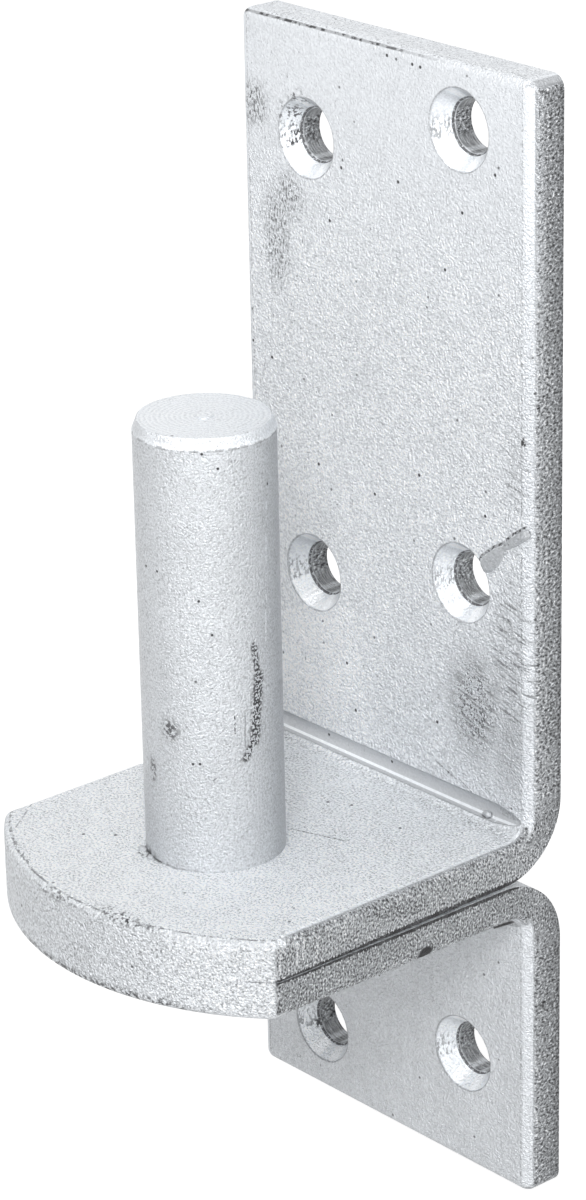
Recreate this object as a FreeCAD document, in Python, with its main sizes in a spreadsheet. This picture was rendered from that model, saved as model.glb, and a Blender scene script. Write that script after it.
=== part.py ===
import FreeCAD, Part
import math
import os
import Sketcher

# Gate hinge pin on a double plate.
# Two blanks sheared from steel plate are folded to an angle and laid shelf on shelf,
# the upper one with its leg up the post and the lower one with its leg down it.
# A round pin stands on them with its shoulder, and its shank is riveted over underneath.
# The origin is on the pin's axis at the shelf's top face, where the gate's eye turns.
# +Z runs up the pin, +X across the plates and +Y back towards the post.

DIMENSIONS = {
    # blanks: the shear rolls over the edges of the face that ends up inside the fold
    "bar_width": 60.0,
    "bar_thickness": 6.0,
    "sheared_edge_round": 1.4,
    "corner_round_extra": 0.6,
    # folds: the shelves touch at the nose and stand a little apart at the fold
    "inner_bend": 3.0,
    "outer_bend": 11.0,
    "face_distance": 33.2,
    "upper_height": 110.5,
    "lower_depth": 58.2,
    "seam_opening": 0.5,
    # arc of the shelves' nose
    "nose_reach": 26.9,
    "nose_rise": 12.2,
    # groove that the folding tool presses into the inner bend: its axis stands off both faces
    "tool_radius": 1.6,
    "tool_inset": 1.4,
    "tool_lift": 2.3,
    "tool_taper": 20.0,
    "tool_margin": 6.5,
    # countersunk screw holes: each left one is lower than its right one
    "hole_diameter": 7.6,
    "countersink_diameter": 11.8,
    "countersink_angle": 68.0,
    "hole_spread": 31.5,
    "hole_stagger": 7.45,
    "top_hole_margin": 9.25,
    "middle_hole_height": 35.1,
    "low_hole_depth": 40.05,
    # pin: chamfered top with the nub that turning leaves, and a thinner shank, riveted over
    "pin_diameter": 20.0,
    "pin_height": 64.5,
    "pin_chamfer_width": 0.65,
    "pin_chamfer_height": 1.6,
    "turning_nub_diameter": 2.8,
    "turning_nub_height": 0.15,
    "shank_diameter": 16.0,
    "shank_fit_gap": 0.03,
    "rivet_flare": 2.5,
    "rivet_depth": 2.5,
    "rivet_crown": 1.2,
}

SHEET = "Dimensions"
CLOSE = 1e-4
# a face whose normal rises at least this much counts as lying flat
FLAT = 0.9
# directions in a sketch, in degrees
RIGHTWARD = 0.0
UPWARD = 90.0
DOWNWARD = 270.0
FULL_TURN = 360.0
# cutting shapes run this far past the faces that they cut
OVERCUT = 4.0
OVER = f"{OVERCUT}"
# in a half section, the pin's axis and the shelf's top face
AXIS = "0"
LEVEL = "0"
# the shank's hole, and the lower shelf's underside at the pin
BORE = "shank_diameter / 2 + shank_fit_gap"
UNDERSIDE = "2 * bar_thickness + seam_opening / 2"
RIVET = "shank_diameter / 2 + rivet_flare"

# Sketcher's numbers for the ends and centre of a line or arc, and for the sketch's own axes
START = 1
END = 2
CENTRE = 3
ACROSS_AXIS = -1
UP_AXIS = -2
ORIGIN = (ACROSS_AXIS, START)

doc = FreeCAD.newDocument("gate_hinge_pin")
sheet = doc.addObject("Spreadsheet::Sheet", SHEET)
for row, (alias, value) in enumerate(DIMENSIONS.items(), start=1):
    sheet.set(f"A{row}", alias)
    sheet.set(f"B{row}", str(value))
    sheet.setAlias(f"B{row}", alias)
doc.recompute()


def cells(formula):
    """A formula with each dimension's name, written as a word apart, turned into its cell."""
    return " ".join(f"{SHEET}.{word}" if word in DIMENSIONS else word for word in formula.split())


def size(formula):
    """The present value of a formula of driving dimensions."""
    return float(sheet.evalExpression(cells(formula)))


def new_body(name):
    body = doc.addObject("PartDesign::Body", name)
    body.Label = name
    return body


def new_sketch(body, name, plane, across="0", up="0", out="0"):
    """A sketch on an origin plane of the body, with its own origin moved by three formulas."""
    sketch = body.newObject("Sketcher::SketchObject", name)
    support = next(item for item in body.Origin.OriginFeatures if item.Role == plane)
    sketch.AttachmentSupport = (support, [""])
    sketch.MapMode = "FlatFace"
    for axis, formula in (("x", across), ("y", up), ("z", out)):
        sketch.setExpression(f"AttachmentOffset.Base.{axis}", cells(formula))
    return sketch


def line(sketch, start, end):
    piece = Part.LineSegment(FreeCAD.Vector(*start), FreeCAD.Vector(*end))
    return sketch.addGeometry(piece, False)


def arc(sketch, centre, radius, first_angle, last_angle):
    """An arc that runs counter-clockwise from one angle to another, both in degrees."""
    circle = Part.Circle(FreeCAD.Vector(*centre), FreeCAD.Vector(0, 0, 1), radius)
    piece = Part.ArcOfCircle(circle, math.radians(first_angle), math.radians(last_angle))
    return sketch.addGeometry(piece, False)


def tie(sketch, kind, *where):
    sketch.addConstraint(Sketcher.Constraint(kind, *where))


def drive(sketch, name, kind, where, formula):
    """A named measure in a sketch that follows a formula of driving dimensions."""
    index = sketch.addConstraint(Sketcher.Constraint(kind, *where, size(formula)))
    sketch.renameConstraint(index, name)
    sketch.setExpression(f"Constraints.{name}", cells(formula))


def chain(sketch, corners):
    """Straight lines from each corner to the next, joined end to start."""
    lines = [line(sketch, here, there) for here, there in zip(corners, corners[1:])]
    for before, after in zip(lines, lines[1:]):
        tie(sketch, "Coincident", before, END, after, START)
    return lines


def straighten(sketch, level, upright):
    for item in level:
        tie(sketch, "Horizontal", item)
    for item in upright:
        tie(sketch, "Vertical", item)


def feature(body, kind, name, sketch):
    made = body.newObject(f"PartDesign::{kind}", name)
    made.Profile = sketch
    return made


def settle(made, cuts=True):
    """Work the document out; a feature that cuts has to leave less than it found."""
    doc.recompute()
    if cuts and made.Shape.Volume > made.BaseFeature.Shape.Volume - CLOSE:
        raise RuntimeError(f"{made.Name} removed nothing")


def round_edges(body, name, radius, edges):
    made = body.newObject("PartDesign::Fillet", name)
    made.Base = (made.BaseFeature, edges)
    made.setExpression("Radius", cells(radius))
    settle(made)


def fold_profile(body, side, leg_length):
    """Side view of a folded bar; side is 1 with the leg up and -1 with the leg down.

    The sketch's origin is on the seam between the shelves, at the nose's foremost point.
    """
    sketch = new_sketch(body, f"{body.Name}_profile", "YZ_Plane", across="- nose_reach", up="- bar_thickness")
    thick = size("bar_thickness")
    face = size("nose_reach + face_distance")
    inner = size("inner_bend")
    outer = size("outer_bend")
    end = side * size(leg_length)
    quarter = (DOWNWARD, FULL_TURN) if side > 0 else (RIGHTWARD, UPWARD)
    shelf_side, leg_side = (START, END) if side > 0 else (END, START)

    inner_arc = arc(sketch, (face - inner, side * (thick + inner)), inner, *quarter)
    outer_arc = arc(sketch, (face + thick - outer, side * outer), outer, *quarter)
    outer_shelf, tip, inner_shelf = chain(sketch, [
        (face + thick - outer, 0), (-OVERCUT, 0), (-OVERCUT, side * thick), (face - inner, side * thick)])
    inner_leg, leg_end, outer_leg = chain(sketch, [
        (face, side * (thick + inner)), (face, end), (face + thick, end), (face + thick, side * outer)])
    tie(sketch, "Tangent", inner_shelf, END, inner_arc, shelf_side)
    tie(sketch, "Tangent", inner_leg, START, inner_arc, leg_side)
    tie(sketch, "Tangent", outer_leg, END, outer_arc, leg_side)
    tie(sketch, "Tangent", outer_shelf, START, outer_arc, shelf_side)
    straighten(sketch, [leg_end], [inner_leg, outer_leg, tip])
    tie(sketch, "Parallel", inner_shelf, outer_shelf)
    tie(sketch, "PointOnObject", *ORIGIN, outer_shelf)

    drive(sketch, "shelf_thickness", "Distance", (inner_shelf, START, outer_shelf), "bar_thickness")
    drive(sketch, "leg_thickness", "DistanceX", (leg_end, START, leg_end, END), "bar_thickness")
    drive(sketch, "face_distance", "DistanceX", (*ORIGIN, leg_end, START), "nose_reach + face_distance")
    drive(sketch, "tip_overcut", "DistanceX", (outer_shelf, END, *ORIGIN), OVER)
    drive(sketch, "inner_bend", "Radius", (inner_arc,), "inner_bend")
    drive(sketch, "outer_bend", "Radius", (outer_arc,), "outer_bend")
    if side > 0:
        tie(sketch, "Horizontal", outer_shelf)
        drive(sketch, "leg_length", "DistanceY", (*ORIGIN, leg_end, START), leg_length)
    else:
        drive(sketch, "seam_opening", "DistanceY", (outer_shelf, START, *ORIGIN), "seam_opening")
        drive(sketch, "leg_length", "DistanceY", (leg_end, START, *ORIGIN), leg_length)
    return sketch


def nose_trim(body):
    """Top view of what the shear takes off in front of the nose's arc."""
    sketch = new_sketch(body, f"{body.Name}_nose_outline", "XY_Plane")
    radius_formula = "( ( bar_width / 2 ) ^ 2 + nose_rise ^ 2 ) / ( 2 * nose_rise )"
    radius = size(radius_formula)
    half = size("bar_width / 2")
    corner = size("nose_rise - nose_reach")
    front = -size("nose_reach") - 2 * OVERCUT
    spread = math.degrees(math.asin(half / radius))
    middle = (0, radius - size("nose_reach"))
    nose = arc(sketch, middle, radius, DOWNWARD - spread, DOWNWARD + spread)
    right_step, right, far, left, left_step = chain(sketch, [
        (half, corner), (half + OVERCUT, corner), (half + OVERCUT, front),
        (-half - OVERCUT, front), (-half - OVERCUT, corner), (-half, corner)])
    tie(sketch, "Coincident", nose, END, right_step, START)
    tie(sketch, "Coincident", left_step, END, nose, START)
    tie(sketch, "PointOnObject", nose, CENTRE, UP_AXIS)
    straighten(sketch, [right_step, far, left_step], [left, right])
    drive(sketch, "nose_radius", "Radius", (nose,), radius_formula)
    drive(sketch, "nose_width", "DistanceX", (nose, START, nose, END), "bar_width")
    drive(sketch, "nose_corner", "DistanceY", (nose, END, *ORIGIN), "nose_reach - nose_rise")
    drive(sketch, "right_overcut", "DistanceX", (right_step, START, right_step, END), OVER)
    drive(sketch, "left_overcut", "DistanceX", (left_step, START, left_step, END), OVER)
    drive(sketch, "front_overcut", "DistanceY", (far, START, *ORIGIN), f"nose_reach + {2 * OVERCUT}")
    return sketch


def corner_edges(shape):
    """The short edges at the blank's four corners, through its thickness."""
    found = []
    for number, edge in enumerate(shape.Edges, start=1):
        at_side = all(abs(abs(point.X) - size("bar_width / 2")) < CLOSE for point in edge.Vertexes)
        if at_side and edge.Length < size("bar_thickness + seam_opening"):
            found.append(f"Edge{number}")
    return found


def inside_faces(shape, side):
    """The three faces inside the fold: the shelf's, the bend's and the leg's."""
    for face in shape.Faces:
        surface = face.Surface
        if isinstance(surface, Part.Cylinder):
            inside = abs(surface.Radius - size("inner_bend")) < CLOSE and abs(surface.Axis.x) > 1 - CLOSE
        else:
            normal = face.normalAt(0, 0)
            facing_front = normal.y < CLOSE - 1
            on_shelf = side * normal.z > FLAT and face.BoundBox.YLength > size("bar_width / 2")
            inside = on_shelf or facing_front and abs(face.CenterOfMass.y - size("face_distance")) < CLOSE
        if inside:
            yield face


def outline_edges(shape, side):
    """The edges around the outside of the three faces inside the fold."""
    owned = [edge for face in inside_faces(shape, side) for edge in face.Edges]
    found = []
    for number, edge in enumerate(shape.Edges, start=1):
        if sum(edge.isSame(other) for other in owned) == 1:
            found.append(f"Edge{number}")
    return found


def press_groove(body, side, shelf_level):
    """The folding tool's mark: a bar with pointed ends, sunk a little into the bend and the leg."""
    sketch = new_sketch(
        body, f"{body.Name}_tool", "XY_Plane",
        up="face_distance - tool_inset", out=f"{shelf_level} + {side} * tool_lift")
    radius = size("tool_radius")
    flat = size("bar_width / 2 - tool_margin")
    point = size("bar_width / 2 - tool_margin + tool_taper")
    core, right, ridge, left = chain(sketch, [
        (-point, 0), (point, 0), (flat, radius), (-flat, radius), (-point, 0)])
    tie(sketch, "Coincident", left, END, core, START)
    tie(sketch, "PointOnObject", core, START, ACROSS_AXIS)
    tie(sketch, "Symmetric", ridge, START, ridge, END, UP_AXIS)
    tie(sketch, "Symmetric", core, START, core, END, *ORIGIN)
    drive(sketch, "tool_radius", "DistanceY", (*ORIGIN, ridge, START), "tool_radius")
    drive(sketch, "flat_length", "DistanceX", (ridge, END, ridge, START), "bar_width - 2 * tool_margin")
    drive(sketch, "taper", "DistanceX", (right, END, right, START), "tool_taper")
    groove = feature(body, "Groove", f"{body.Name}_tool_mark", sketch)
    groove.ReferenceAxis = (sketch, ["H_Axis"])
    groove.Angle = FULL_TURN
    settle(groove)


def screw_holes(body, places):
    """Countersunk holes from the front.

    Each place holds 1 or -1 for right or left, 1 or -1 for above or below the origin, and a height.
    """
    sketch = new_sketch(body, f"{body.Name}_hole_places", "XZ_Plane", out="- face_distance")
    for number, (side, sign, height) in enumerate(places, start=1):
        centre = FreeCAD.Vector(side * size("hole_spread / 2"), sign * size(height))
        rim = Part.Circle(centre, FreeCAD.Vector(0, 0, 1), size("hole_diameter / 2"))
        circle = sketch.addGeometry(rim, False)
        ends = ((circle, CENTRE), ORIGIN) if side < 0 else (ORIGIN, (circle, CENTRE))
        drive(sketch, f"hole_{number}_across", "DistanceX", (*ends[0], *ends[1]), "hole_spread / 2")
        ends = ((circle, CENTRE), ORIGIN) if sign < 0 else (ORIGIN, (circle, CENTRE))
        drive(sketch, f"hole_{number}_up", "DistanceY", (*ends[0], *ends[1]), height)
        drive(sketch, f"hole_{number}_size", "Diameter", (circle,), "hole_diameter")
    doc.recompute()
    hole = feature(body, "Hole", f"{body.Name}_screw_holes", sketch)
    hole.Threaded = False
    hole.DepthType = "ThroughAll"
    hole.HoleCutType = "Countersink"
    hole.HoleCutCustomValues = True
    hole.setExpression("Diameter", cells("hole_diameter"))
    hole.setExpression("HoleCutDiameter", cells("countersink_diameter"))
    hole.setExpression("HoleCutCountersinkAngle", cells("countersink_angle"))
    settle(hole)


def half_section(body, name, corners):
    """Lines from corner to corner for turning about the pin's axis.

    Each corner holds a radius, 1 or -1 for above or below the origin, and a height.
    """
    sketch = new_sketch(body, name, "XZ_Plane")
    lines = chain(sketch, [(size(radius), sign * size(height)) for radius, sign, height in corners])
    ends = [(item, START) for item in lines] + [(lines[-1], END)]
    for number, (end, (radius, sign, height)) in enumerate(zip(ends, corners), start=1):
        if radius == AXIS:
            tie(sketch, "PointOnObject", *end, UP_AXIS)
        else:
            drive(sketch, f"radius_{number}", "DistanceX", (*ORIGIN, *end), radius)
        if height == LEVEL:
            tie(sketch, "PointOnObject", *end, ACROSS_AXIS)
        else:
            where = (*ORIGIN, *end) if sign > 0 else (*end, *ORIGIN)
            drive(sketch, f"height_{number}", "DistanceY", where, height)
    return sketch, lines


def close_on_axis(sketch, top, bottom):
    """The line down the axis that closes a half section between two of its ends."""
    axis = line(sketch, sketch.getPoint(*top), sketch.getPoint(*bottom))
    tie(sketch, "Coincident", axis, START, *top)
    tie(sketch, "Coincident", axis, END, *bottom)


def turn(body, kind, name, sketch):
    made = feature(body, kind, name, sketch)
    made.ReferenceAxis = (sketch, ["V_Axis"])
    made.Angle = FULL_TURN
    settle(made, cuts=kind == "Groove")


def pin_bore(body, corners):
    sketch, lines = half_section(body, f"{body.Name}_bore_section", corners)
    close_on_axis(sketch, (lines[0], START), (lines[-1], END))
    turn(body, "Groove", f"{body.Name}_bore", sketch)


def folded_plate(name, side, leg_length, shelf_level, bore, holes):
    body = new_body(name)
    bar = feature(body, "Pad", f"{name}_bar", fold_profile(body, side, leg_length))
    bar.SideType = "Symmetric"
    bar.setExpression("Length", cells("bar_width"))
    settle(bar, cuts=False)
    nose = feature(body, "Pocket", f"{name}_nose", nose_trim(body))
    nose.Type = "ThroughAll"
    nose.SideType = "Symmetric"
    settle(nose)
    round_edges(body, f"{name}_corners", "sheared_edge_round + corner_round_extra", corner_edges(nose.Shape))
    round_edges(body, f"{name}_sheared_edges", "sheared_edge_round", outline_edges(body.Tip.Shape, side))
    press_groove(body, side, shelf_level)
    pin_bore(body, bore)
    screw_holes(body, holes)
    return body


def riveted_pin(name):
    body = new_body(name)
    sketch, lines = half_section(body, f"{name}_section", [
        (AXIS, 1, "pin_height + turning_nub_height"),
        ("turning_nub_diameter / 2", 1, "pin_height + turning_nub_height"),
        ("turning_nub_diameter / 2", 1, "pin_height"),
        ("pin_diameter / 2 - pin_chamfer_width", 1, "pin_height"),
        ("pin_diameter / 2", 1, "pin_height - pin_chamfer_height"),
        ("pin_diameter / 2", 1, LEVEL),
        ("shank_diameter / 2", 1, LEVEL),
        ("shank_diameter / 2", -1, f"{UNDERSIDE} - rivet_depth"),
        (RIVET, -1, UNDERSIDE),
    ])
    radius_formula = f"( ( {RIVET} ) ^ 2 + rivet_crown ^ 2 ) / ( 2 * rivet_crown )"
    radius = size(radius_formula)
    spread = math.degrees(math.asin(size(RIVET) / radius))
    middle = (0, radius - size(f"{UNDERSIDE} + rivet_crown"))
    crown = arc(sketch, middle, radius, DOWNWARD, DOWNWARD + spread)
    tie(sketch, "Coincident", crown, END, lines[-1], END)
    tie(sketch, "PointOnObject", crown, CENTRE, UP_AXIS)
    tie(sketch, "PointOnObject", crown, START, UP_AXIS)
    drive(sketch, "crown_radius", "Radius", (crown,), radius_formula)
    close_on_axis(sketch, (lines[0], START), (crown, START))
    turn(body, "Revolution", f"{name}_turned", sketch)
    return body


upper_plate = folded_plate(
    "upper_plate", 1, "upper_height + bar_thickness", "0",
    bore=[
        (AXIS, 1, OVER),
        (BORE, 1, OVER),
        (BORE, -1, f"bar_thickness + {OVER}"),
        (AXIS, -1, f"bar_thickness + {OVER}"),
    ],
    holes=[
        (1, 1, "upper_height - top_hole_margin"),
        (-1, 1, "upper_height - top_hole_margin - hole_stagger"),
        (1, 1, "middle_hole_height"),
        (-1, 1, "middle_hole_height - hole_stagger"),
    ])
lower_plate = folded_plate(
    "lower_plate", -1, "lower_depth - bar_thickness", "- 2 * bar_thickness - seam_opening",
    bore=[
        (AXIS, 1, OVER),
        (BORE, 1, OVER),
        (BORE, -1, f"{UNDERSIDE} - rivet_depth"),
        (f"{BORE} + rivet_flare", -1, UNDERSIDE),
        (f"{BORE} + rivet_flare", -1, f"{UNDERSIDE} + {OVER}"),
        (AXIS, -1, f"{UNDERSIDE} + {OVER}"),
    ],
    holes=[(1, -1, "low_hole_depth"), (-1, -1, "low_hole_depth + hole_stagger")])
hinge_pin = riveted_pin("hinge_pin")
doc.recompute()

for item in doc.Objects:
    if "Invalid" in item.State or "Error" in item.State:
        raise RuntimeError(f"{item.Name} failed: {item.State}")
os.makedirs("parts", exist_ok=True)
for body in (upper_plate, lower_plate, hinge_pin):
    shape = body.Shape
    if shape.isNull() or not shape.isValid() or len(shape.Solids) != 1:
        raise RuntimeError(f"{body.Label} isn't one sound solid")
    shape.exportStep(f"parts/{body.Label}.step")
    print(f"{body.Label}: {shape.Volume:.0f} mm3, {len(shape.Faces)} faces")
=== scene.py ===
# %% [markdown]
# # A gate hinge pin in hot-dip zinc
# The part is a round pin on a shelf of two folded plates, all dipped in molten zinc after it was
# put together. The solids already have every real form: the folds, the rolled edges, the holes.
# What is left for this lesson is the zinc itself, which is pale, grainy, scuffed and lumpy in
# places, and a plain white studio to see it in.

# %% Load the part
import math
from types import SimpleNamespace
import bmesh
import bpy
from mathutils import Matrix, Vector, noise


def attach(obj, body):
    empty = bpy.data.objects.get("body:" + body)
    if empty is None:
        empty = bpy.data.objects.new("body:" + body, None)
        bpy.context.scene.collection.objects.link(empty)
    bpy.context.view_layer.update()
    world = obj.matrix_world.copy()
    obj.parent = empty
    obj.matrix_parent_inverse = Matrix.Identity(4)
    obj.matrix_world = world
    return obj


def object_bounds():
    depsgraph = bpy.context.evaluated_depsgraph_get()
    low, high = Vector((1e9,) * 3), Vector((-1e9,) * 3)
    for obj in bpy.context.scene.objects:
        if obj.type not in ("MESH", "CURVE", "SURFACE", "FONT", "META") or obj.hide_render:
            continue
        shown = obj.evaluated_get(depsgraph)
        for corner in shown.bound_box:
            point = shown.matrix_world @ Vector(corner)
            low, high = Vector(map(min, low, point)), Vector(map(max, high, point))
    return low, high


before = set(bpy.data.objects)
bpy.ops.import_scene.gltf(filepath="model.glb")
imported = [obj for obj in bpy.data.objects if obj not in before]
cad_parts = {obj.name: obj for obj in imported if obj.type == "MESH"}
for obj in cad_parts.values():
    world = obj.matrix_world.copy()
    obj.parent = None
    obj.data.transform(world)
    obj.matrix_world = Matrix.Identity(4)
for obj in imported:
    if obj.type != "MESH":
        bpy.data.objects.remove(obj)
cad_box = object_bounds()
MM = 0.001
plates = {name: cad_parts[name] for name in ("upper_plate", "lower_plate")}
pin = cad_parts["hinge_pin"]


def in_mm(box):
    """A box's corners in millimetres, for printing."""
    return [[round(v / MM, 1) for v in corner] for corner in box]


print("CAD box, mm:", in_mm(cad_box))

# %% [markdown]
# The camera comes first, because everything else is judged through it. It stands to the right of
# the pin and a little above it, with a long lens, as for a catalogue picture. The picture is
# taller than it is wide, so the sensor's 36 mm lie along its height.

# %% Camera
AZIMUTH, ELEVATION, ROLL = 49.1495, 22.092, -1.1832
DISTANCE = 0.57076
AIM = Vector((0.01783, 0.0, 0.04247))
FOCAL_PIXELS = 4206.4
PICTURE_HEIGHT = 1200
SENSOR = 36.0


def direction(azimuth, elevation):
    """From the part towards a place around it; azimuth 0 is in front of the plates."""
    turn, lift = math.radians(azimuth), math.radians(elevation)
    level = math.cos(lift)
    return Vector((math.sin(turn) * level, -math.cos(turn) * level, math.sin(lift)))


def towards(back):
    """A turn that makes an object look along the opposite of a direction, with its top up."""
    return (-back).to_track_quat("-Z", "Y").to_matrix().to_4x4()


lens = bpy.data.cameras.new("catalogue_camera")
lens.sensor_width = SENSOR
lens.lens = FOCAL_PIXELS * SENSOR / PICTURE_HEIGHT
camera = bpy.data.objects.new("catalogue_camera", lens)
back = direction(AZIMUTH, ELEVATION)
place = Matrix.Translation(AIM + back * DISTANCE)
camera.matrix_world = place @ towards(back) @ Matrix.Rotation(math.radians(ROLL), 4, "Z")
bpy.context.scene.collection.objects.link(camera)
bpy.context.scene.camera = camera
print("lens, mm:", round(lens.lens, 1))

# %% [markdown]
# A finish is a web of nodes, and most of the web is arithmetic on masks. Built by hand it takes
# four lines for each sum, so one small class carries a socket about and turns Python's operators
# into Math nodes. Any other node comes from its one method.

# %% Wires for shader maths
class Wire:
    """A value on its way through a finish."""

    def __init__(self, tree, socket=None):
        self.tree = tree
        self.socket = socket

    def node(self, kind, sockets=(), output=0, **settings):
        """Any node: its settings first, then the values or links of its sockets."""
        made = self.tree.nodes.new("ShaderNode" + kind)
        for name, value in settings.items():
            setattr(made, name, value)
        for name, value in dict(sockets).items():
            if isinstance(value, Wire):
                self.tree.links.new(value.socket, made.inputs[name])
            else:
                made.inputs[name].default_value = value
        return Wire(self.tree, made.outputs[output] if made.outputs else None)

    def beside(self, output):
        """Another output of the same node."""
        return Wire(self.tree, self.socket.node.outputs[output])

    def sum(self, operation, first, second=0.0):
        return self.node("Math", {0: first, 1: second}, operation=operation)

    def __add__(self, other):
        return self.sum("ADD", self, other)

    def __sub__(self, other):
        return self.sum("SUBTRACT", self, other)

    def __rsub__(self, other):
        return self.sum("SUBTRACT", other, self)

    def __mul__(self, other):
        return self.sum("MULTIPLY", self, other)

    def __or__(self, other):
        return self.sum("MAXIMUM", self, other)

    def __and__(self, other):
        return self.sum("MINIMUM", self, other)

    def __abs__(self):
        return self.sum("ABSOLUTE", self)

    __radd__ = __add__
    __rmul__ = __mul__


print("operators ready")

# %% [markdown]
# Zinc is told by where things are: here a speckle, there a scratch, more of it towards an edge.
# Images could hold that, but a few kinds of mask cover it and stay sharp at any distance: a soft
# step, noise, a patch, a scratch and scattered specks. All lengths are in millimetres.

# %% Steps and noise
def step(value, low, high):
    """A soft step from 0 at low to 1 at high; with low above high it falls instead."""
    reach = {"Value": value, "From Min": low, "From Max": high}
    return value.node("MapRange", reach, interpolation_type="SMOOTHSTEP")


def blend(under, over, amount):
    """One value laid over another."""
    return under + (over - under) * amount


def any_of(masks):
    """The strongest of several masks."""
    masks = list(masks)
    whole = masks[0]
    for mask in masks[1:]:
        whole = whole | mask
    return whole


def parts(vector):
    across = vector.node("SeparateXYZ", {0: vector}, output="X")
    return across, across.beside("Y"), across.beside("Z")


def stretched(here, factors):
    return here.node("VectorMath", {0: here, 1: factors}, operation="MULTIPLY")


def grain(here, fineness, detail=2.0, roughness=0.5):
    """Soft noise around 0.5; fineness is in lumps per millimetre."""
    return here.node(
        "TexNoise", {"Vector": here, "Scale": fineness, "Detail": detail, "Roughness": roughness})


print("steps and noise ready")

# %% [markdown]
# A mark has a place. A patch is an ellipsoid with a soft border, a scratch is what lies near a
# straight run, and specks sit one to a cell with most cells left empty. They could be painted on
# an unwrapped surface, but measured in space they need no unwrapping and cross edges without a gap.

# %% Patches, scratches and specks
def distance(here, factors, point):
    """How far a point is, with some axes left out by a factor of 0."""
    return here.node(
        "VectorMath", {0: stretched(here, factors), 1: point}, output="Value", operation="DISTANCE")


def spot(here, centre, reach, core=0.25):
    """A patch with its own reach along each axis, full inside its core and soft beyond it."""
    offset = here.node("VectorMath", {0: here, 1: centre}, operation="SUBTRACT")
    share = here.node("VectorMath", {0: offset, 1: reach}, operation="DIVIDE")
    length = share.node("VectorMath", {0: share}, output="Value", operation="LENGTH")
    return step(length, 1.0, core)


def stroke(here, start, end, width):
    """A straight scratch from one point to another."""
    start, end = Vector(start), Vector(end)
    run = end - start
    offset = here.node("VectorMath", {0: here, 1: start}, operation="SUBTRACT")
    pace = run / run.length_squared
    share = here.node("VectorMath", {0: offset, 1: pace}, output="Value", operation="DOT_PRODUCT")
    share = share.node("Clamp", {"Value": share})
    nearest = here.node("VectorMath", {0: run, "Scale": share}, operation="SCALE")
    gap = here.node("VectorMath", {0: offset, 1: nearest}, output="Value", operation="DISTANCE")
    return step(gap, width, width * 0.3)


def specks(here, spacing, size, share):
    """Scattered dots: each cell of that spacing may hold one, and only a share of them do."""
    cell = here.node("TexVoronoi", {"Vector": here, "Scale": 1.0 / spacing})
    lot = here.node("SeparateColor", {0: cell.beside("Color")})
    return step(cell, size / spacing, 0.4 * size / spacing) * step(lot, share, share * 0.9)


print("marks ready")

# %% [markdown]
# Every finish starts from the same wires: the place on the part in millimetres and the way the
# surface faces, both measured on the part itself so that nothing slides when it is turned. It ends
# in one metal shader. A bevel node softens the hard edges a little, as a zinc coat does.

# %% Start and end of a finish
TINT = (0.968, 1.0, 1.04)
PIT = (0.03, 0.03, 0.033, 1.0)
DARKEST = 0.02
COAT_ROUND = 0.22 * MM
METAL = 0.42


def start_finish(name):
    material = bpy.data.materials.new(name)
    material.use_nodes = True
    material.node_tree.nodes.clear()
    own = Wire(material.node_tree).node("TexCoord", output="Object")
    here = own.node("VectorMath", {0: own, "Scale": 1.0 / MM}, operation="SCALE")
    return material, here, own.beside("Normal")


def end_finish(tone, pits, roughness, relief, depth, metal=METAL):
    """Tone is the zinc's lightness, pits lie over it, and relief is raised by depth."""
    pits = tone.node("Clamp", {"Value": pits})
    zinc = tone.node("VectorMath", {0: TINT, "Scale": tone}, operation="SCALE")
    colour = tone.node("Mix", {0: pits, 6: zinc, 7: PIT}, output=2, data_type="RGBA")
    soft = tone.node("Bevel", {"Radius": COAT_ROUND}, samples=3)
    raised = {"Strength": 1.0, "Distance": depth, "Height": relief, "Normal": soft}
    skin = tone.node("BsdfPrincipled", {
        "Base Color": colour, "Metallic": (1 - pits) * metal, "Roughness": roughness,
        "Normal": tone.node("Bump", raised)})
    tone.node("OutputMaterial", {"Surface": skin})


print("metal share:", METAL)

# %% [markdown]
# The plates carry several kinds of zinc at once. The rolled faces are smooth with a fine crinkle.
# The sheared sides are torn metal, so the coat over them is coarse, dark and full of bright
# crests. Where the shear rolled an edge over, the coat is smooth, and a painted highlight makes it
# nearly white. These faces could be picked out one by one, but the way the surface points tells
# them apart already, so each kind gets a mask from its direction and its place.

# %% Faces of a plate
FACE, HOLE_RADIUS, SINK_RADIUS, SINK_BOTTOM = 33.2, 3.8, 5.9, 3.5


def hole_distance(here, holes):
    """How far the nearest screw hole's axis is."""
    gaps = [distance(here, (1, 0, 1), (x, 0, z)) for x, z in holes]
    nearest = gaps[0]
    for gap in gaps[1:]:
        nearest = nearest & gap
    return nearest


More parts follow.
